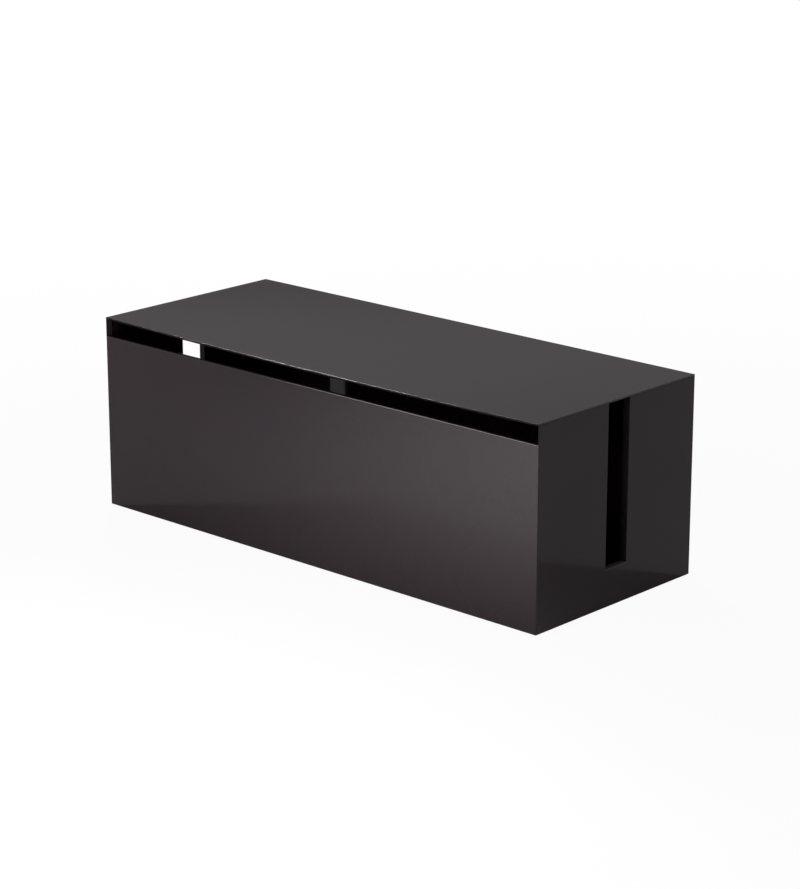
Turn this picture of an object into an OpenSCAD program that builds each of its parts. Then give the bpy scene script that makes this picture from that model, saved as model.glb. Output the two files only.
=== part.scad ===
// Cable management box: a long low box of thin gloss sheet, mitred at its edges, with a lift-off
// lid. Cables leave through a gap along the whole front, under the lid, and through a slot in each
// end panel.
// X runs along the box, Y from the front to the back, and Z up from the surface that it stands on.

/* [Box] */
// Outside width, over both end panels
box_w = 400; // [300:5:500]
// Outside depth, from the front face to the back face
box_d = 160; // [120:5:220]
// Overall height, from under the feet to the top of the lid
box_h = 140; // [90:5:200]
// Thickness of the sheet of the four walls
wall_t = 3; // [2.5:0.5:5]
// Thickness of the sheet of the base
base_t = 3; // [2.5:0.5:6]
// Radius of the outside edges
edge_r = 0.8; // [0.3:0.1:1.1]

/* [Cable gap and slots] */
// Clear height of the gap between the front panel and the lid
gap_h = 11; // [6:0.5:25]
// Width of the cable slot in each end panel
slot_w = 21; // [10:0.5:40]
// Height of each end panel below its slot
slot_sill_h = 26.5; // [16:0.5:60]
// Radius of the lip round each slot, on the outside
slot_lip_r = 0.5; // [0.2:0.1:1.2]
// Thickness of the stiffening frame behind each slot
frame_t = 2; // [1.5:0.1:4]
// Width of the three sides of that frame
frame_w = 6; // [4:0.5:12]
// Radius of the two lower outside corners of that frame
frame_r = 2; // [0.5:0.5:3.5]
// Distance that the frame stands back from the edges of the slot
frame_setback = 0.1; // [0.1:0.1:1]

/* [Lid] */
// Thickness of the lid
lid_t = 2.5; // [2:0.5:4]
// Height of the lid's upright edge, above the mitre that rests on the walls
lid_lip_h = 0.8; // [0.5:0.1:1.5]
// Radius of the lid's upper edges
lid_edge_r = 0.4; // [0.2:0.1:0.5]
// Height of the fine groove under the upright edge, where the mitred tips of the walls are blunt
seam_h = 0.3; // [0.1:0.1:0.5]
// Thickness of the rails under the lid
rail_t = 3; // [2.5:0.5:5]
// Depth that the rails hang below the lid
rail_h = 5; // [3:0.5:9]
// Radius of the lower edges of the rails, which leads the lid into place
rail_r = 1; // [0.5:0.1:1.2]
// Clearance between a rail and the wall or slot frame that it locates on
rail_clearance = 0.5; // [0.3:0.1:1]
// Distance from the inside of the front panel to the front ends of the rails
rail_setback = 18; // [5:1:30]

/* [Feet] */
// Diameter of the feet
foot_d = 12; // [8:0.5:18]
// Height that the feet stand out below the base
foot_out = 1; // [0.5:0.1:3]
// Depth of the recess that holds each foot
foot_recess = 1.5; // [0.5:0.1:2]
// Clearance round each foot in its recess
foot_clearance = 0.2; // [0.1:0.1:0.5]
// Distance from each foot's centre to the inside of the two walls beside it
foot_inset = 15; // [10:1:30]

/* [Hidden] */
$fn = 48;

// Signs of the two ends and of the front and back
left = -1;
right = 1;
front = -1;
rear = 1;

// Quarter turns that take a sheet drawn at the front to each side of the box
at_front = 0;
at_right = 1;
at_rear = 2;
at_left = 3;

// Height of the lid's underside, where the mitre of the end and rear panels meets their inside
wall_top = box_h - lid_t;
// Height of the foot of the lid's upright edge, and of the blunt tips of the walls below it
lip_z = box_h - lid_lip_h;
tip_z = lip_z - seam_h;
// Height of the top of the front panel
front_top = wall_top - gap_h;
// Height of the bottom of the slots
slot_z = foot_out + slot_sill_h;
// Inside of the box, between the wall sheets
inner_w = box_w - 2 * wall_t;
inner_d = box_d - 2 * wall_t;

// Outer faces of the rails, which locate on the walls
rail_x = inner_w / 2 - rail_clearance;
rail_y = inner_d / 2 - rail_clearance;
// Ends of the end rails, which locate on the slot frames
rail_stop_y = slot_w / 2 + frame_w + rail_clearance;
// Far ends of the end rails, at the front and at the rear rail
rail_front_y = inner_d / 2 - rail_setback;
rail_rear_y = rail_y - rail_t;

// Centres of the feet
foot_x = inner_w / 2 - foot_inset;
foot_y = inner_d / 2 - foot_inset;
// Radius of the lower edge of the feet
foot_r = foot_out / 2;

// Cutters run this far past the faces that they cut
past = 1;

module wall_color() color("#2b2728") children();
module frame_color() color("#1e1b1c") children();
module rail_color() color("#242122") children();
module foot_color() color("#151515") children();

// What a radius takes off the square corner at the origin
module corner_waste(r) {
    difference() {
        square(r);
        translate([r, r])
            circle(r);
    }
}

// Rectangle from the origin, with a radius of its own on each corner, counter-clockwise from
// the origin. A radius of 0 leaves that corner square.
module rounded_rect(size, radii) {
    corners = [[0, 0], [size.x, 0], [size.x, size.y], [0, size.y]];
    difference() {
        square(size);
        for (i = [0:3])
            if (radii[i] > 0)
                translate(corners[i])
                    rotate(90 * i)
                        corner_waste(radii[i]);
    }
}

// Runs a section along X, centred: the section's x is depth and its y is height
module run_along_x(length)
    rotate([90, 0, 90])
        linear_extrude(length, center = true)
            children();

// Plan of a wall sheet with its outside face on y = 0. Each end has a 45 degree mitre, and the
// half of the corner radius that lies on this side of the mitre.
module mitred_plan(length) {
    intersection() {
        polygon([
            [-length / 2, 0], [length / 2, 0],
            [length / 2 - wall_t, wall_t], [-length / 2 + wall_t, wall_t]
        ]);
        translate([-length / 2, 0])
            rounded_rect([length, wall_t + past], [edge_r, edge_r, 0, 0]);
    }
}

// Wall sheet with its outside face on y = 0, from the underside of the box up. The child is its
// section.
module wall_sheet(length) {
    intersection() {
        translate([0, 0, foot_out])
            linear_extrude(box_h)
                mitred_plan(length);
        run_along_x(length + 2 * past)
            children();
    }
}

// Section of a wall up to the height top, with a radius on both sides of its top
module wall_section(top, top_r)
    translate([0, foot_out])
        rounded_rect([wall_t, top - foot_out], [edge_r, 0, top_r, top_r]);

// Section of a wall that carries the lid: its top is mitred under the edge of the lid
module lid_wall_section()
    intersection() {
        wall_section(tip_z, 0);
        polygon([[0, 0], [wall_t, 0], [wall_t, wall_top], [0, lip_z]]);
    }

// Puts what is drawn at the front, with its outside face on y = 0, on one side of the box
module on_side(turn)
    rotate(90 * turn)
        translate([0, -(turn % 2 == 0 ? box_d : box_w) / 2, 0])
            children();

// Slot in plan, with the rounded lip of its two jambs
module slot_plan() {
    translate([-slot_w / 2, -past])
        square([slot_w, wall_t + 2 * past]);
    for (side = [0, 1])
        mirror([side, 0])
            translate([slot_w / 2, 0])
                corner_waste(slot_lip_r);
}

// Slot in section, with the rounded lip of its sill, open at the top
module slot_section() {
    translate([-past, slot_z])
        square([wall_t + 2 * past, tip_z - slot_z + past]);
    translate([0, slot_z])
        mirror([0, 1])
            corner_waste(slot_lip_r);
}

// Cutter for the slot: where the plan and the section cross, the lip turns its lower corners in
// a mitre
module slot_cutter() {
    intersection() {
        translate([0, 0, slot_z - slot_lip_r])
            linear_extrude(tip_z - slot_z + slot_lip_r + past)
                slot_plan();
        run_along_x(slot_w + 2 * slot_lip_r)
            slot_section();
    }
}

module front_panel()
    wall_color()
        on_side(at_front)
            wall_sheet(box_w)
                wall_section(front_top, edge_r);

module rear_panel()
    wall_color()
        on_side(at_rear)
            wall_sheet(box_w)
                lid_wall_section();

module end_panel(turn)
    wall_color()
        on_side(turn)
            difference() {
                wall_sheet(box_d)
                    lid_wall_section();
                slot_cutter();
            }

// Stiffening frame on three sides of a slot, against the inside of the end panel and up to its top
module slot_frame(turn) {
    low_z = slot_z - frame_w;
    open_w = slot_w + 2 * frame_setback;
    open_z = slot_z - frame_setback;
    frame_color()
        on_side(turn)
            translate([0, wall_t + frame_t, 0])
                rotate([90, 0, 0])
                    linear_extrude(frame_t)
                        difference() {
                            translate([-slot_w / 2 - frame_w, low_z])
                                rounded_rect(
                                    [slot_w + 2 * frame_w, wall_top - low_z],
                                    [frame_r, frame_r, 0, 0]
                                );
                            translate([-open_w / 2, open_z])
                                square([open_w, wall_top - open_z + past]);
                        }
}

// Base sheet between the four walls, with a recess for each foot
module base_panel() {
    wall_color()
        difference() {
            translate([-inner_w / 2, -inner_d / 2, foot_out])
                cube([inner_w, inner_d, base_t]);
            for (x = [-foot_x, foot_x], y = [-foot_y, foot_y])
                translate([x, y, foot_out - past])
                    cylinder(h = foot_recess + past, d = foot_d + 2 * foot_clearance);
        }
}

// Non-slip foot, from the surface that the box stands on to the bottom of its recess
module foot(end, side)
    foot_color()
        translate([end * foot_x, side * foot_y, 0])
            rotate_extrude()
                rounded_rect([foot_d / 2, foot_out + foot_recess], [0, foot_r, 0, 0]);

// Bar along X with the lid's section: both its edges are upright above and mitred below, as deep as
// the walls are thick
module lid_bar(length, across)
    run_along_x(length + 2 * past)
        intersection() {
            translate([-across / 2, wall_top])
                rounded_rect([across, lid_t], [0, 0, lid_edge_r, lid_edge_r]);
            polygon([
                [across / 2 - wall_t, wall_top], [across / 2, lip_z], [across / 2, box_h],
                [-across / 2, box_h], [-across / 2, lip_z], [wall_t - across / 2, wall_top]
            ]);
        }

// Flat lid, flush with the outside of the walls. At the ends and the rear its mitre rests on theirs.
// At the front the mitre hangs free over the gap, where fingers reach under it to lift the lid.
module lid_panel()
    wall_color()
        intersection() {
            translate([-box_w / 2, -box_d / 2, wall_top])
                linear_extrude(lid_t)
                    rounded_rect([box_w, box_d], [edge_r, edge_r, edge_r, edge_r]);
            lid_bar(box_w, box_d);
            rotate(90)
                lid_bar(box_d, box_w);
        }

// Rail under the lid, along X, with its outer face on y = 0 and the rest of it behind that face
module rail(length)
    translate([0, -rail_t, wall_top - rail_h])
        run_along_x(length)
            rounded_rect([rail_t, rail_h], [rail_r, rail_r, 0, 0]);

module lid_rear_rail()
    rail_color()
        translate([0, rail_y, 0])
            rail(2 * rail_x);

// Rail inside an end panel, from y_low to y_high
module end_rail(end, y_low, y_high)
    rail_color()
        translate([end * rail_x, (y_low + y_high) / 2, 0])
            rotate(-90 * end)
                rail(y_high - y_low);

front_panel();
rear_panel();
end_panel(at_left);  // left_end_panel
end_panel(at_right);  // right_end_panel
base_panel();
slot_frame(at_left);  // left_slot_frame
slot_frame(at_right);  // right_slot_frame
foot(left, front);  // foot_front_left
foot(right, front);  // foot_front_right
foot(left, rear);  // foot_rear_left
foot(right, rear);  // foot_rear_right
lid_panel();
lid_rear_rail();
end_rail(left, -rail_front_y, -rail_stop_y);  // lid_left_front_rail
end_rail(left, rail_stop_y, rail_rear_y);  // lid_left_rear_rail
end_rail(right, -rail_front_y, -rail_stop_y);  // lid_right_front_rail
end_rail(right, rail_stop_y, rail_rear_y);  // lid_right_rear_rail
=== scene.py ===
import math

import bmesh
import bpy
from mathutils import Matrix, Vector


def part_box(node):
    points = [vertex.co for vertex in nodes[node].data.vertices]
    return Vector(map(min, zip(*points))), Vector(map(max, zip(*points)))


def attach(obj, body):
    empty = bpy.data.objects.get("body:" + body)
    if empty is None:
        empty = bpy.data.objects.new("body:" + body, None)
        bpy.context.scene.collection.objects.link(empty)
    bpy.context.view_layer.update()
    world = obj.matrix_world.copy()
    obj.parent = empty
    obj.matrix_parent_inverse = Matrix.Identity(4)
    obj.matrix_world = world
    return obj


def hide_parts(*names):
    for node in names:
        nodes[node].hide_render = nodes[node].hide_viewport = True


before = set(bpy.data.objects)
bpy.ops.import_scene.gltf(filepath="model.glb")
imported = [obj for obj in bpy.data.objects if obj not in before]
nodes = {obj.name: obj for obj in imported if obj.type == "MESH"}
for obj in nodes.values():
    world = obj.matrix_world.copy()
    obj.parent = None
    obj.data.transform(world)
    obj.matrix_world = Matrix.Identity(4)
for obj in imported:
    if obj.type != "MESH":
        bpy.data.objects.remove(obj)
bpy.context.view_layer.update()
MM = 0.001
MICRON = 0.000001

# ---- camera: the photograph's viewing angle ----
CAMERA_AT = (1.2492, -1.3479, 0.6218)
CAMERA_YAW = math.radians(42.59)
CAMERA_PITCH = math.radians(16.75)
CAMERA_LENS = 112.6
CAMERA_SENSOR = 36.0
CAMERA_NEAR = 0.05
CAMERA_FAR = 30.0

# ---- studio ----
FLOOR_RADIUS = 4.0
FLOOR_SIDES = 96
FLOOR_ALBEDO = 0.55
COVE_HEIGHT = 1.2
COVE_REACH = 1.2
COVE_STEPS = 16
# Share of plain white that gloss sees near the middle of the floor, and the radii between which it
# rises to all white
GLOSSY_RADII = (0.65, 1.60)
GLOSSY_WHITE = 0.06
# The camera's share of white begins and ends closer in, and keeps the object's shadow beside it
CAMERA_WHITE = 0.95
CAMERA_RADII = (0.30, 1.10)
# World brightness at the horizon and overhead, and the heights on the unit sphere between which it rises
HORIZON_LIGHT = 0.13
OVERHEAD_LIGHT = 0.30
RISE_FROM = 0.20
RISE_TO = 0.30
# Square lamps, which aim at the object
KEY = {"at": (-0.8680, 0.6000, 0.8010), "side": 0.21, "watts": 8.80}
FILL = {"at": (-1.2640, -1.7000, 1.0000), "side": 0.66, "watts": 14.50}
LAMP_AIM = (0.0, 0.0, 0.05)
# Lamp that lights a round pool of this radius on the floor in front of the box, and its own radius
POOL = {"at": (0.1550, -0.5835, 1.5), "radius": 0.5600, "watts": 248.0}
POOL_LAMP_RADIUS = 0.12

# ---- colours: the darkest and lightest of each finish ----
SHEET_DARK = (0.0192, 0.0098, 0.0138)
SHEET_LIGHT = (0.0240, 0.0122, 0.0172)
SPECK_COLOUR = (0.20, 0.19, 0.18)
EASED_LIGHT = tuple(1.3 * share for share in SHEET_DARK)
CUT_DARK = (0.0160, 0.0124, 0.0128)
CUT_LIGHT = (0.0290, 0.0230, 0.0236)
# Sawn faces that face up turn towards this colour: partly dust, partly painted light from above
CUT_DUST_AND_TOP_LIGHT = (0.0900, 0.0810, 0.0810)
SATIN_DARK = (0.0120, 0.0090, 0.0094)
SATIN_LIGHT = (0.0190, 0.0145, 0.0150)
RUBBER_DARK = (0.0100, 0.0100, 0.0100)
RUBBER_LIGHT = (0.0300, 0.0300, 0.0300)

# ---- gloss: least and most roughness, what is added to it, and the specular level ----
PLASTIC_IOR = 1.5
PLAIN_SPECULAR = 0.5
SHEET_ROUGHNESS = (0.045, 0.062)
RUB_ROUGHNESS = 0.02
SPECK_ROUGHNESS = 0.4
EASED_ROUGHNESS = (0.25, 0.31)
EASED_SPECULAR = 0.42
CUT_ROUGHNESS = (0.50, 0.68)
CUT_SPECULAR = 0.05
SATIN_ROUGHNESS = (0.36, 0.48)
SCUFF_ROUGHNESS = 0.10
SATIN_SPECULAR = 0.1
RUBBER_ROUGHNESS = (0.78, 0.95)

# ---- dust ----
# How far apart the specks' cells are, how large a speck is, what a cell's chance must pass to hold
# one, and how far the speck hides the sheet
SPECK_SPACING = 11 * MM
SPECK_RADIUS = 0.22 * MM
SPECK_CHANCE = 0.75
SPECK_COVER = 0.25
# Upward part of the normal above which a sawn face turns lighter: dust, and painted light from above
DUST_AND_TOP_LIGHT_SLOPE = 0.5
# Noise lies between these values nearly everywhere
NOISE_SPAN = (0.3, 0.7)

# ---- the lid's shape ----
# The lid lies on three walls and hangs free along the front, where its middle sags by this much
LID_SAG = 1.9 * MM
# Longest side of the lid's mesh faces, and the bands beside its edges that keep the flats flat
LID_STEP = 20 * MM
LID_BANDS = (1.3 * MM, 3.0 * MM)
# Points of the CAD lid closer than this are one, and faces that turn by less than this are one
WELD_WITHIN = 1 * MICRON
FLAT_WITHIN = math.radians(0.5)
# Edges of the lid that turn by more than this stay sharp; its rounds turn by less at each step
LID_SHARP_ANGLE = math.radians(35)
# Share of the largest faces in the normals, where 50 is even and 100 is all
LARGE_FACE_WEIGHT = 100

# ---- which faces are sawn or eased ----
# Least upward part of the normal of the mitres that face up, and least downward part of the lid's mitres
MITRE_SLOPE = 0.5
# An upright mitre turns halfway between two walls to within this, and is larger than this in square metres
MITRE_TOLERANCE = 0.02
MITRE_AREA = 0.0001
# A jamb faces forward or back by at least this much, and lies this close to the middle of the end wall
JAMB_TILT = 0.3
JAMB_REACH = 20 * MM
# Upward or downward part of the normal above which a face is level, and the height that the sills lie below
LEVEL = 0.99
SILL_BELOW = 100 * MM
# Upward part of the normal below which the lid's front edge is sawn, and how far that edge faces forward
LID_CUT_BELOW = 0.55
LID_FRONT_TILT = 0.3
# Forward part of the normal above which the lid's upper edge is eased
EASED_TILT = 0.1


def make_camera():
    data = bpy.data.cameras.new("camera")
    data.lens = CAMERA_LENS
    data.sensor_width = CAMERA_SENSOR
    data.clip_start = CAMERA_NEAR
    data.clip_end = CAMERA_FAR
    camera = bpy.data.objects.new("camera", data)
    bpy.context.scene.collection.objects.link(camera)
    camera.location = CAMERA_AT
    camera.rotation_euler = (math.pi / 2 - CAMERA_PITCH, 0.0, CAMERA_YAW)
    bpy.context.scene.camera = camera


class Nodes:
    """Short calls for building a node tree."""

    def __init__(self, tree):
        self.tree = tree

    def add(self, kind, **settings):
        node = self.tree.nodes.new(kind)
        for name, value in settings.items():
            setattr(node, name, value)
        return node

    def feed(self, socket, value):
        """Links the socket to another node's output, or sets it to a plain value."""
        if isinstance(value, bpy.types.NodeSocket):
            self.tree.links.new(value, socket)
        else:
            socket.default_value = value

    def math(self, operation, one, other):
        node = self.add("ShaderNodeMath", operation=operation)
        self.feed(node.inputs[0], one)
        self.feed(node.inputs[1], other)
        return node.outputs[0]

    def spread(self, value, low, high, to_low=0.0, to_high=1.0):
        """Maps value smoothly from low..high to to_low..to_high."""
        node = self.add("ShaderNodeMapRange", interpolation_type="SMOOTHSTEP")
        self.feed(node.inputs["Value"], value)
        node.inputs["From Min"].default_value = low
        node.inputs["From Max"].default_value = high
        node.inputs["To Min"].default_value = to_low
        node.inputs["To Max"].default_value = to_high
        return node.outputs[0]

    def blend(self, share, one, other):
        """Mixes two colours. A Mix node's colours are its inputs 6 and 7, and its output 2."""
        node = self.add("ShaderNodeMix", data_type="RGBA")
        self.feed(node.inputs["Factor"], share)
        for socket, value in ((node.inputs[6], one), (node.inputs[7], other)):
            if isinstance(value, tuple):
                value = (*value, 1.0)
            self.feed(socket, value)
        return node.outputs[2]

    def split(self, vector):
        """The X, Y and Z of a vector."""
        node = self.add("ShaderNodeSeparateXYZ")
        self.feed(node.inputs[0], vector)
        return node.outputs

    def place(self, kind):
        """Texture coordinates of this kind. Object coordinates are in metres."""
        return self.add("ShaderNodeTexCoord").outputs[kind]

    def noise(self, size, detail, stretch=(1.0, 1.0, 1.0)):
        """Noise whose features are about this size, in metres, divided by stretch along each axis."""
        mapping = self.add("ShaderNodeMapping")
        mapping.inputs["Scale"].default_value = stretch
        self.feed(mapping.inputs["Vector"], self.place("Object"))
        node = self.add("ShaderNodeTexNoise")
        node.inputs["Scale"].default_value = 1.0 / size
        node.inputs["Detail"].default_value = detail
        self.feed(node.inputs["Vector"], mapping.outputs["Vector"])
        return node.outputs["Fac"]

    def specks(self, spacing, radius):
        """Small round specks, 1 at their middle, in a few of the cells this far apart."""
        node = self.add("ShaderNodeTexVoronoi")
        node.inputs["Scale"].default_value = 1.0 / spacing
        self.feed(node.inputs["Vector"], self.place("Object"))
        dot = self.spread(node.outputs["Distance"], 0.0, radius / spacing, 1.0, 0.0)
        chance = self.add("ShaderNodeSeparateColor")
        self.feed(chance.inputs[0], node.outputs["Color"])
        return self.math("MULTIPLY", dot, self.math("GREATER_THAN", chance.outputs[0], SPECK_CHANCE))

    def bump(self, height, depth, below=None):
        """Bump from a height of 0..1 that stands for this depth in metres, on top of the one below."""
        node = self.add("ShaderNodeBump")
        node.inputs["Strength"].default_value = 1.0
        node.inputs["Distance"].default_value = depth
        self.feed(node.inputs["Height"], height)
        if below is not None:
            self.feed(node.inputs["Normal"], below)
        return node.outputs["Normal"]


def new_material(name):
    material = bpy.data.materials.new(name)
    material.use_nodes = True
    tree = material.node_tree
    tree.nodes.clear()
    output = tree.nodes.new("ShaderNodeOutputMaterial")
    return material, Nodes(tree), output


def finish_material(parts, output, colour, roughness, normal, specular):
    shader = parts.add("ShaderNodeBsdfPrincipled")
    shader.inputs["IOR"].default_value = PLASTIC_IOR
    shader.inputs["Specular IOR Level"].default_value = specular
    parts.feed(shader.inputs["Base Color"], colour)
    parts.feed(shader.inputs["Roughness"], roughness)
    parts.feed(shader.inputs["Normal"], normal)
    parts.feed(output.inputs["Surface"], shader.outputs[0])


def gloss_material(name):
    """High gloss sheet: a faint cloudiness in the colour, the slight waviness of a cast sheet, smudges,
    fine rub marks and a few specks of dust."""
    material, parts, output = new_material(name)
    cloud = parts.spread(parts.noise(120 * MM, detail=3.0), *NOISE_SPAN)
    specks = parts.specks(SPECK_SPACING, SPECK_RADIUS)
    clean = parts.blend(cloud, SHEET_DARK, SHEET_LIGHT)
    colour = parts.blend(parts.math("MULTIPLY", specks, SPECK_COVER), clean, SPECK_COLOUR)
    smudge = parts.spread(parts.noise(35 * MM, detail=4.0), 0.45, 0.75, *SHEET_ROUGHNESS)
    streaks = parts.noise(1.2 * MM, detail=1.0, stretch=(0.03, 1.0, 1.0))
    rubs = parts.spread(streaks, 0.62, 0.80, 0.0, RUB_ROUGHNESS)
    marked = parts.math("ADD", smudge, rubs)
    roughness = parts.math("ADD", marked, parts.math("MULTIPLY", specks, SPECK_ROUGHNESS))
    wave = parts.bump(parts.noise(30 * MM, detail=1.0), 12 * MICRON)
    peel = parts.bump(parts.noise(2.5 * MM, detail=1.0), 0.6 * MICRON, wave)
    finish_material(parts, output, colour, roughness, peel, PLAIN_SPECULAR)
    return material


def eased_material(name):
    """Free upper edge of the lid, eased with fine abrasive: softer gloss than the faces, with fine
    lines along the edge."""
    material, parts, output = new_material(name)
    lines = parts.noise(0.4 * MM, detail=2.0, stretch=(0.02, 1.0, 1.0))
    colour = parts.blend(parts.spread(lines, *NOISE_SPAN), SHEET_DARK, EASED_LIGHT)
    roughness = parts.spread(lines, *NOISE_SPAN, *EASED_ROUGHNESS)
    normal = parts.bump(parts.noise(6 * MM, detail=3.0), 4 * MICRON)
    finish_material(parts, output, colour, roughness, normal, EASED_SPECULAR)
    return material


def cut_material(name):
    """Sawn edge of the sheet: matt and nearly black, with fine saw marks, and lighter on the sills and
    other faces that face up, partly dust and partly painted light from above.
    """
    material, parts, output = new_material(name)
    grain = parts.noise(0.6 * MM, detail=4.0)
    bare = parts.blend(parts.spread(grain, 0.35, 0.75), CUT_DARK, CUT_LIGHT)
    # Faces that face up are painted lighter in patches: dust, and painted light from above
    upward = parts.spread(parts.split(parts.place("Normal"))["Z"], DUST_AND_TOP_LIGHT_SLOPE, 1.0)
    patches = parts.spread(parts.noise(1.5 * MM, detail=3.0), 0.2, 0.6, 0.6, 1.0)
    colour = parts.blend(parts.math("MULTIPLY", upward, patches), bare, CUT_DUST_AND_TOP_LIGHT)
    roughness = parts.spread(grain, *NOISE_SPAN, *CUT_ROUGHNESS)
    marks = parts.bump(parts.noise(0.9 * MM, detail=2.0, stretch=(0.15, 1.0, 1.0)), 30 * MICRON)
    normal = parts.bump(grain, 20 * MICRON, marks)
    finish_material(parts, output, colour, roughness, normal, CUT_SPECULAR)
    return material


def satin_material(name):
    """Satin moulded plastic with a fine even texture and a few scuffs."""
    material, parts, output = new_material(name)
    grain = parts.noise(0.7 * MM, detail=3.0)
    scuff = parts.spread(parts.noise(8 * MM, detail=4.0, stretch=(0.3, 1.0, 1.0)), 0.55, 0.75)
    colour = parts.blend(scuff, SATIN_DARK, SATIN_LIGHT)
    even = parts.spread(grain, *NOISE_SPAN, *SATIN_ROUGHNESS)
    roughness = parts.math("ADD", even, parts.math("MULTIPLY", scuff, SCUFF_ROUGHNESS))
    normal = parts.bump(grain, 15 * MICRON)
    finish_material(parts, output, colour, roughness, normal, SATIN_SPECULAR)
    return material


def rubber_material(name):
    """Matt rubber, grained and a little dusty."""
    material, parts, output = new_material(name)
    grain = parts.noise(0.4 * MM, detail=5.0)
    dusty = parts.spread(parts.noise(4 * MM, detail=3.0), 0.45, 0.70)
    colour = parts.blend(dusty, RUBBER_DARK, RUBBER_LIGHT)
    roughness = parts.spread(grain, *NOISE_SPAN, *RUBBER_ROUGHNESS)
    normal = parts.bump(grain, 50 * MICRON)
    finish_material(parts, output, colour, roughness, normal, PLAIN_SPECULAR)
    return material


def floor_material():
    """Pale floor. The camera sees it nearly white close to the object, where it keeps the object's
    shadow, and fully white further out. Gloss and glass see the same white further out."""
    material, parts, output = new_material("studio_white")
    diffuse = parts.add("ShaderNodeBsdfDiffuse")
    diffuse.inputs["Color"].default_value = (FLOOR_ALBEDO, FLOOR_ALBEDO, FLOOR_ALBEDO, 1)
    white = parts.add("ShaderNodeEmission")
    ray = parts.add("ShaderNodeLightPath").outputs
    reach = parts.add("ShaderNodeVectorMath", operation="LENGTH")
    parts.feed(reach.inputs[0], parts.place("Object"))

    def white_share(radii, near):
        return parts.spread(reach.outputs["Value"], *radii, near, 1.0)

    shiny = parts.math("MAXIMUM", ray["Is Glossy Ray"], ray["Is Transmission Ray"])
    seen = parts.math("MULTIPLY", ray["Is Camera Ray"], white_share(CAMERA_RADII, CAMERA_WHITE))
    mirrored = parts.math("MULTIPLY", shiny, white_share(GLOSSY_RADII, GLOSSY_WHITE))
    mix = parts.add("ShaderNodeMixShader")
    parts.feed(mix.inputs["Fac"], parts.math("ADD", seen, mirrored))
    parts.feed(mix.inputs[1], diffuse.outputs[0])
    parts.feed(mix.inputs[2], white.outputs[0])
    parts.feed(output.inputs["Surface"], mix.outputs[0])
    return material


def make_floor():
    """A round floor whose rim curves up into a low cove all round."""
    profile = [(FLOOR_RADIUS, 0.0)]
    for i in range(1, COVE_STEPS + 1):
        turn = math.pi / 2 * i / COVE_STEPS
        profile.append((FLOOR_RADIUS + COVE_REACH * math.sin(turn), COVE_HEIGHT * (1 - math.cos(turn))))
    verts = [Vector((0, 0, 0))]
    for radius, height in profile:
        for j in range(FLOOR_SIDES):
            turn = 2 * math.pi * j / FLOOR_SIDES
            verts.append(Vector((radius * math.cos(turn), radius * math.sin(turn), height)))
    faces = [(0, 1 + j, 1 + (j + 1) % FLOOR_SIDES) for j in range(FLOOR_SIDES)]
    for ring in range(COVE_STEPS):
        low = 1 + ring * FLOOR_SIDES
        high = low + FLOOR_SIDES
        for j in range(FLOOR_SIDES):
            k = (j + 1) % FLOOR_SIDES
            faces.append((low + j, high + j, high + k, low + k))
    mesh = bpy.data.meshes.new("floor")
    mesh.from_pydata(verts, [], faces)
    mesh.shade_smooth()
    mesh.materials.append(floor_material())
    floor = bpy.data.objects.new("floor", mesh)
    bpy.context.scene.collection.objects.link(floor)


def make_world():
    """Plain soft light from all round, weaker towards the horizon."""
    world = bpy.data.worlds.new("studio")
    bpy.context.scene.world = world
    world.use_nodes = True
    parts = Nodes(world.node_tree)
    height = parts.split(parts.place("Generated"))["Z"]
    light = parts.spread(height, RISE_FROM, RISE_TO, HORIZON_LIGHT, OVERHEAD_LIGHT)
    parts.feed(world.node_tree.nodes["Background"].inputs["Color"], light)


def link_lamp(name, data, at):
    lamp = bpy.data.objects.new(name, data)
    bpy.context.scene.collection.objects.link(lamp)
    lamp.location = at
    return lamp


def square_lamp(name, at, side, watts):
    """A lamp that aims at the object."""
    data = bpy.data.lights.new(name, "AREA")
    data.shape = "SQUARE"
    data.size = side
    data.energy = watts
    lamp = link_lamp(name, data, at)
    lamp.rotation_mode = "QUATERNION"
    lamp.rotation_quaternion = (Vector(LAMP_AIM) - Vector(at)).to_track_quat("-Z", "Y")


def pool_lamp(name, at, radius, watts):
    """A soft-edged lamp that shines straight down on the floor."""
    data = bpy.data.lights.new(name, "SPOT")
    data.spot_size = 2 * math.atan(radius / at[2])
    data.spot_blend = 1.0
    data.shadow_soft_size = POOL_LAMP_RADIUS
    data.energy = watts
    link_lamp(name, data, at)


def make_lights():
    square_lamp("key", **KEY)
    square_lamp("fill", **FILL)
    pool_lamp("pool", **POOL)


def lid_sag(place):
    """How far the lid hangs down at a place: nothing at the walls, most at the middle of the front."""
    low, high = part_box("lid_panel")
    along = 2 * place.x / (high.x - low.x)
    forward = (high.y - place.y) / (high.y - low.y)
    return LID_SAG * max(0.0, 1 - along * along) * forward


def cut_places(low, high):
    """Where the lid's mesh is divided along one axis."""
    count = round((high - low) / LID_STEP)
    places = [low + (high - low) * i / count for i in range(1, count)]
    for band in LID_BANDS:
        places += [low + band, high - band]
    return places


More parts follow.
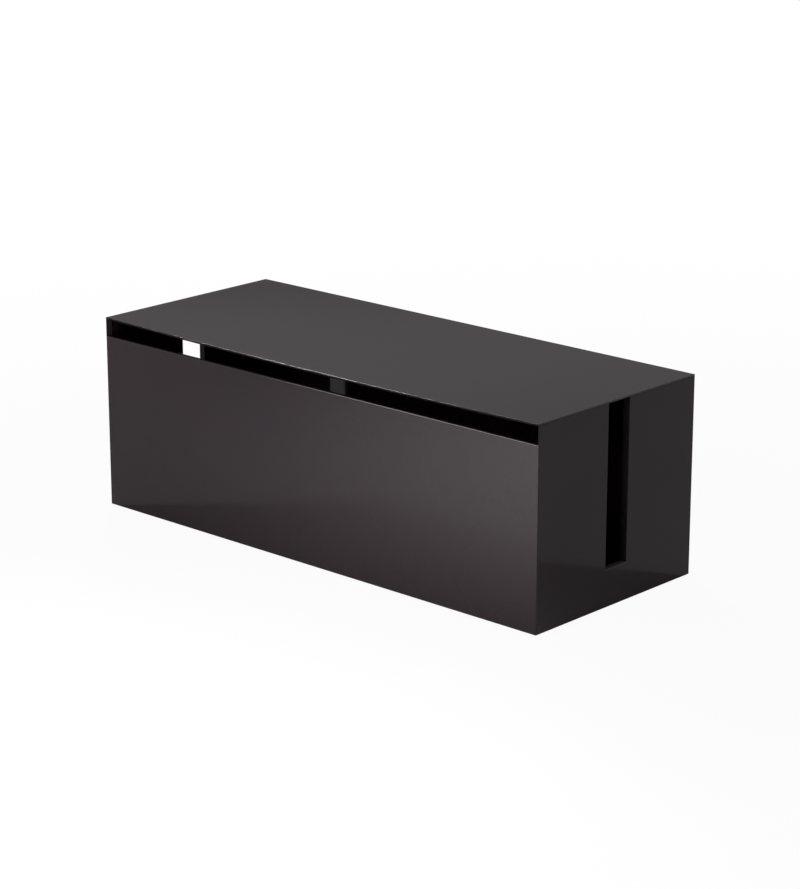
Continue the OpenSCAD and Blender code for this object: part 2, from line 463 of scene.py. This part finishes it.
def make_lid():
    """The lid with its slight sag, from a finely divided copy of the CAD lid."""
    low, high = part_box("lid_panel")
    shape = bmesh.new()
    shape.from_mesh(nodes["lid_panel"].data)
    bmesh.ops.remove_doubles(shape, verts=shape.verts, dist=WELD_WITHIN)
    bmesh.ops.dissolve_limit(shape, angle_limit=FLAT_WITHIN, verts=shape.verts, edges=shape.edges)
    for axis in (0, 1):
        across = Vector((0.0, 0.0, 0.0))
        across[axis] = 1.0
        for place in cut_places(low[axis], high[axis]):
            everything = shape.verts[:] + shape.edges[:] + shape.faces[:]
            bmesh.ops.bisect_plane(shape, geom=everything, plane_co=across * place, plane_no=across)
    for vert in shape.verts:
        vert.co.z -= lid_sag(vert.co)
    mesh = bpy.data.meshes.new("lid_sheet_free_edge")
    shape.to_mesh(mesh)
    shape.free()
    mesh.shade_smooth()
    mesh.set_sharp_from_angle(angle=LID_SHARP_ANGLE)
    lid = bpy.data.objects.new("lid_sheet_free_edge", mesh)
    bpy.context.scene.collection.objects.link(lid)
    weigh = lid.modifiers.new("flat_faces_win", "WEIGHTED_NORMAL")
    weigh.weight = LARGE_FACE_WEIGHT
    weigh.keep_sharp = True
    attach(lid, "lid")
    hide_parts("lid_panel")
    return lid


def wall_finish(polygon):
    """A wall sheet is sawn at its mitres and on its top, where the lid rests."""
    normal = polygon.normal
    halfway = abs(abs(normal.x) - abs(normal.y)) < MITRE_TOLERANCE
    upright = abs(normal.z) < MITRE_TOLERANCE
    mitre = halfway and upright and polygon.area > MITRE_AREA
    seat = normal.z > MITRE_SLOPE and polygon.center.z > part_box("lid_panel")[0].z
    return "sawn" if mitre or seat else "gloss"


def end_wall_finish(polygon):
    """An end wall is sawn at the jambs and the sill of its slot as well."""
    normal = polygon.normal
    jamb = abs(normal.y) > JAMB_TILT and abs(polygon.center.y) < JAMB_REACH
    sill = normal.z > LEVEL and polygon.center.z < SILL_BELOW
    return "sawn" if jamb or sill else wall_finish(polygon)


def lid_finish(polygon):
    """The lid is sawn at its mitres and low on its free front edge, whose top is eased."""
    normal = polygon.normal
    if -LEVEL < normal.z < -MITRE_SLOPE:
        return "sawn"
    if normal.z < LID_CUT_BELOW:
        return "sawn" if normal.y < -LID_FRONT_TILT else "gloss"
    return "eased" if normal.y < -EASED_TILT else "gloss"


def dress(piece, material):
    piece.data.materials.clear()
    piece.data.materials.append(material)


def dress_sheet(piece, materials, finish):
    """Gives a sheet its materials: finish(polygon) names the one that each face takes."""
    names = list(materials)
    piece.data.materials.clear()
    for material in materials.values():
        piece.data.materials.append(material)
    for polygon in piece.data.polygons:
        polygon.material_index = names.index(finish(polygon))


def dress_object():
    """Every CAD node takes a material, and the lid with the sag takes the place of the flat one."""
    sheet = {
        "gloss": gloss_material("gloss_sheet"),
        "sawn": cut_material("sawn_edge"),
        "eased": eased_material("eased_edge"),
    }
    satin = satin_material("satin_plastic")
    rubber = rubber_material("foot_rubber")
    for name, piece in nodes.items():
        if name.endswith(("_slot_frame", "_rail")):
            dress(piece, satin)
        elif name.startswith("foot_"):
            dress(piece, rubber)
        elif name.endswith("_end_panel"):
            dress_sheet(piece, sheet, end_wall_finish)
        elif name != "lid_panel":
            dress_sheet(piece, sheet, wall_finish)
    dress_sheet(make_lid(), sheet, lid_finish)


make_camera()
make_world()
make_floor()
make_lights()
dress_object()

bpy.context.scene.view_settings.view_transform = "Standard"
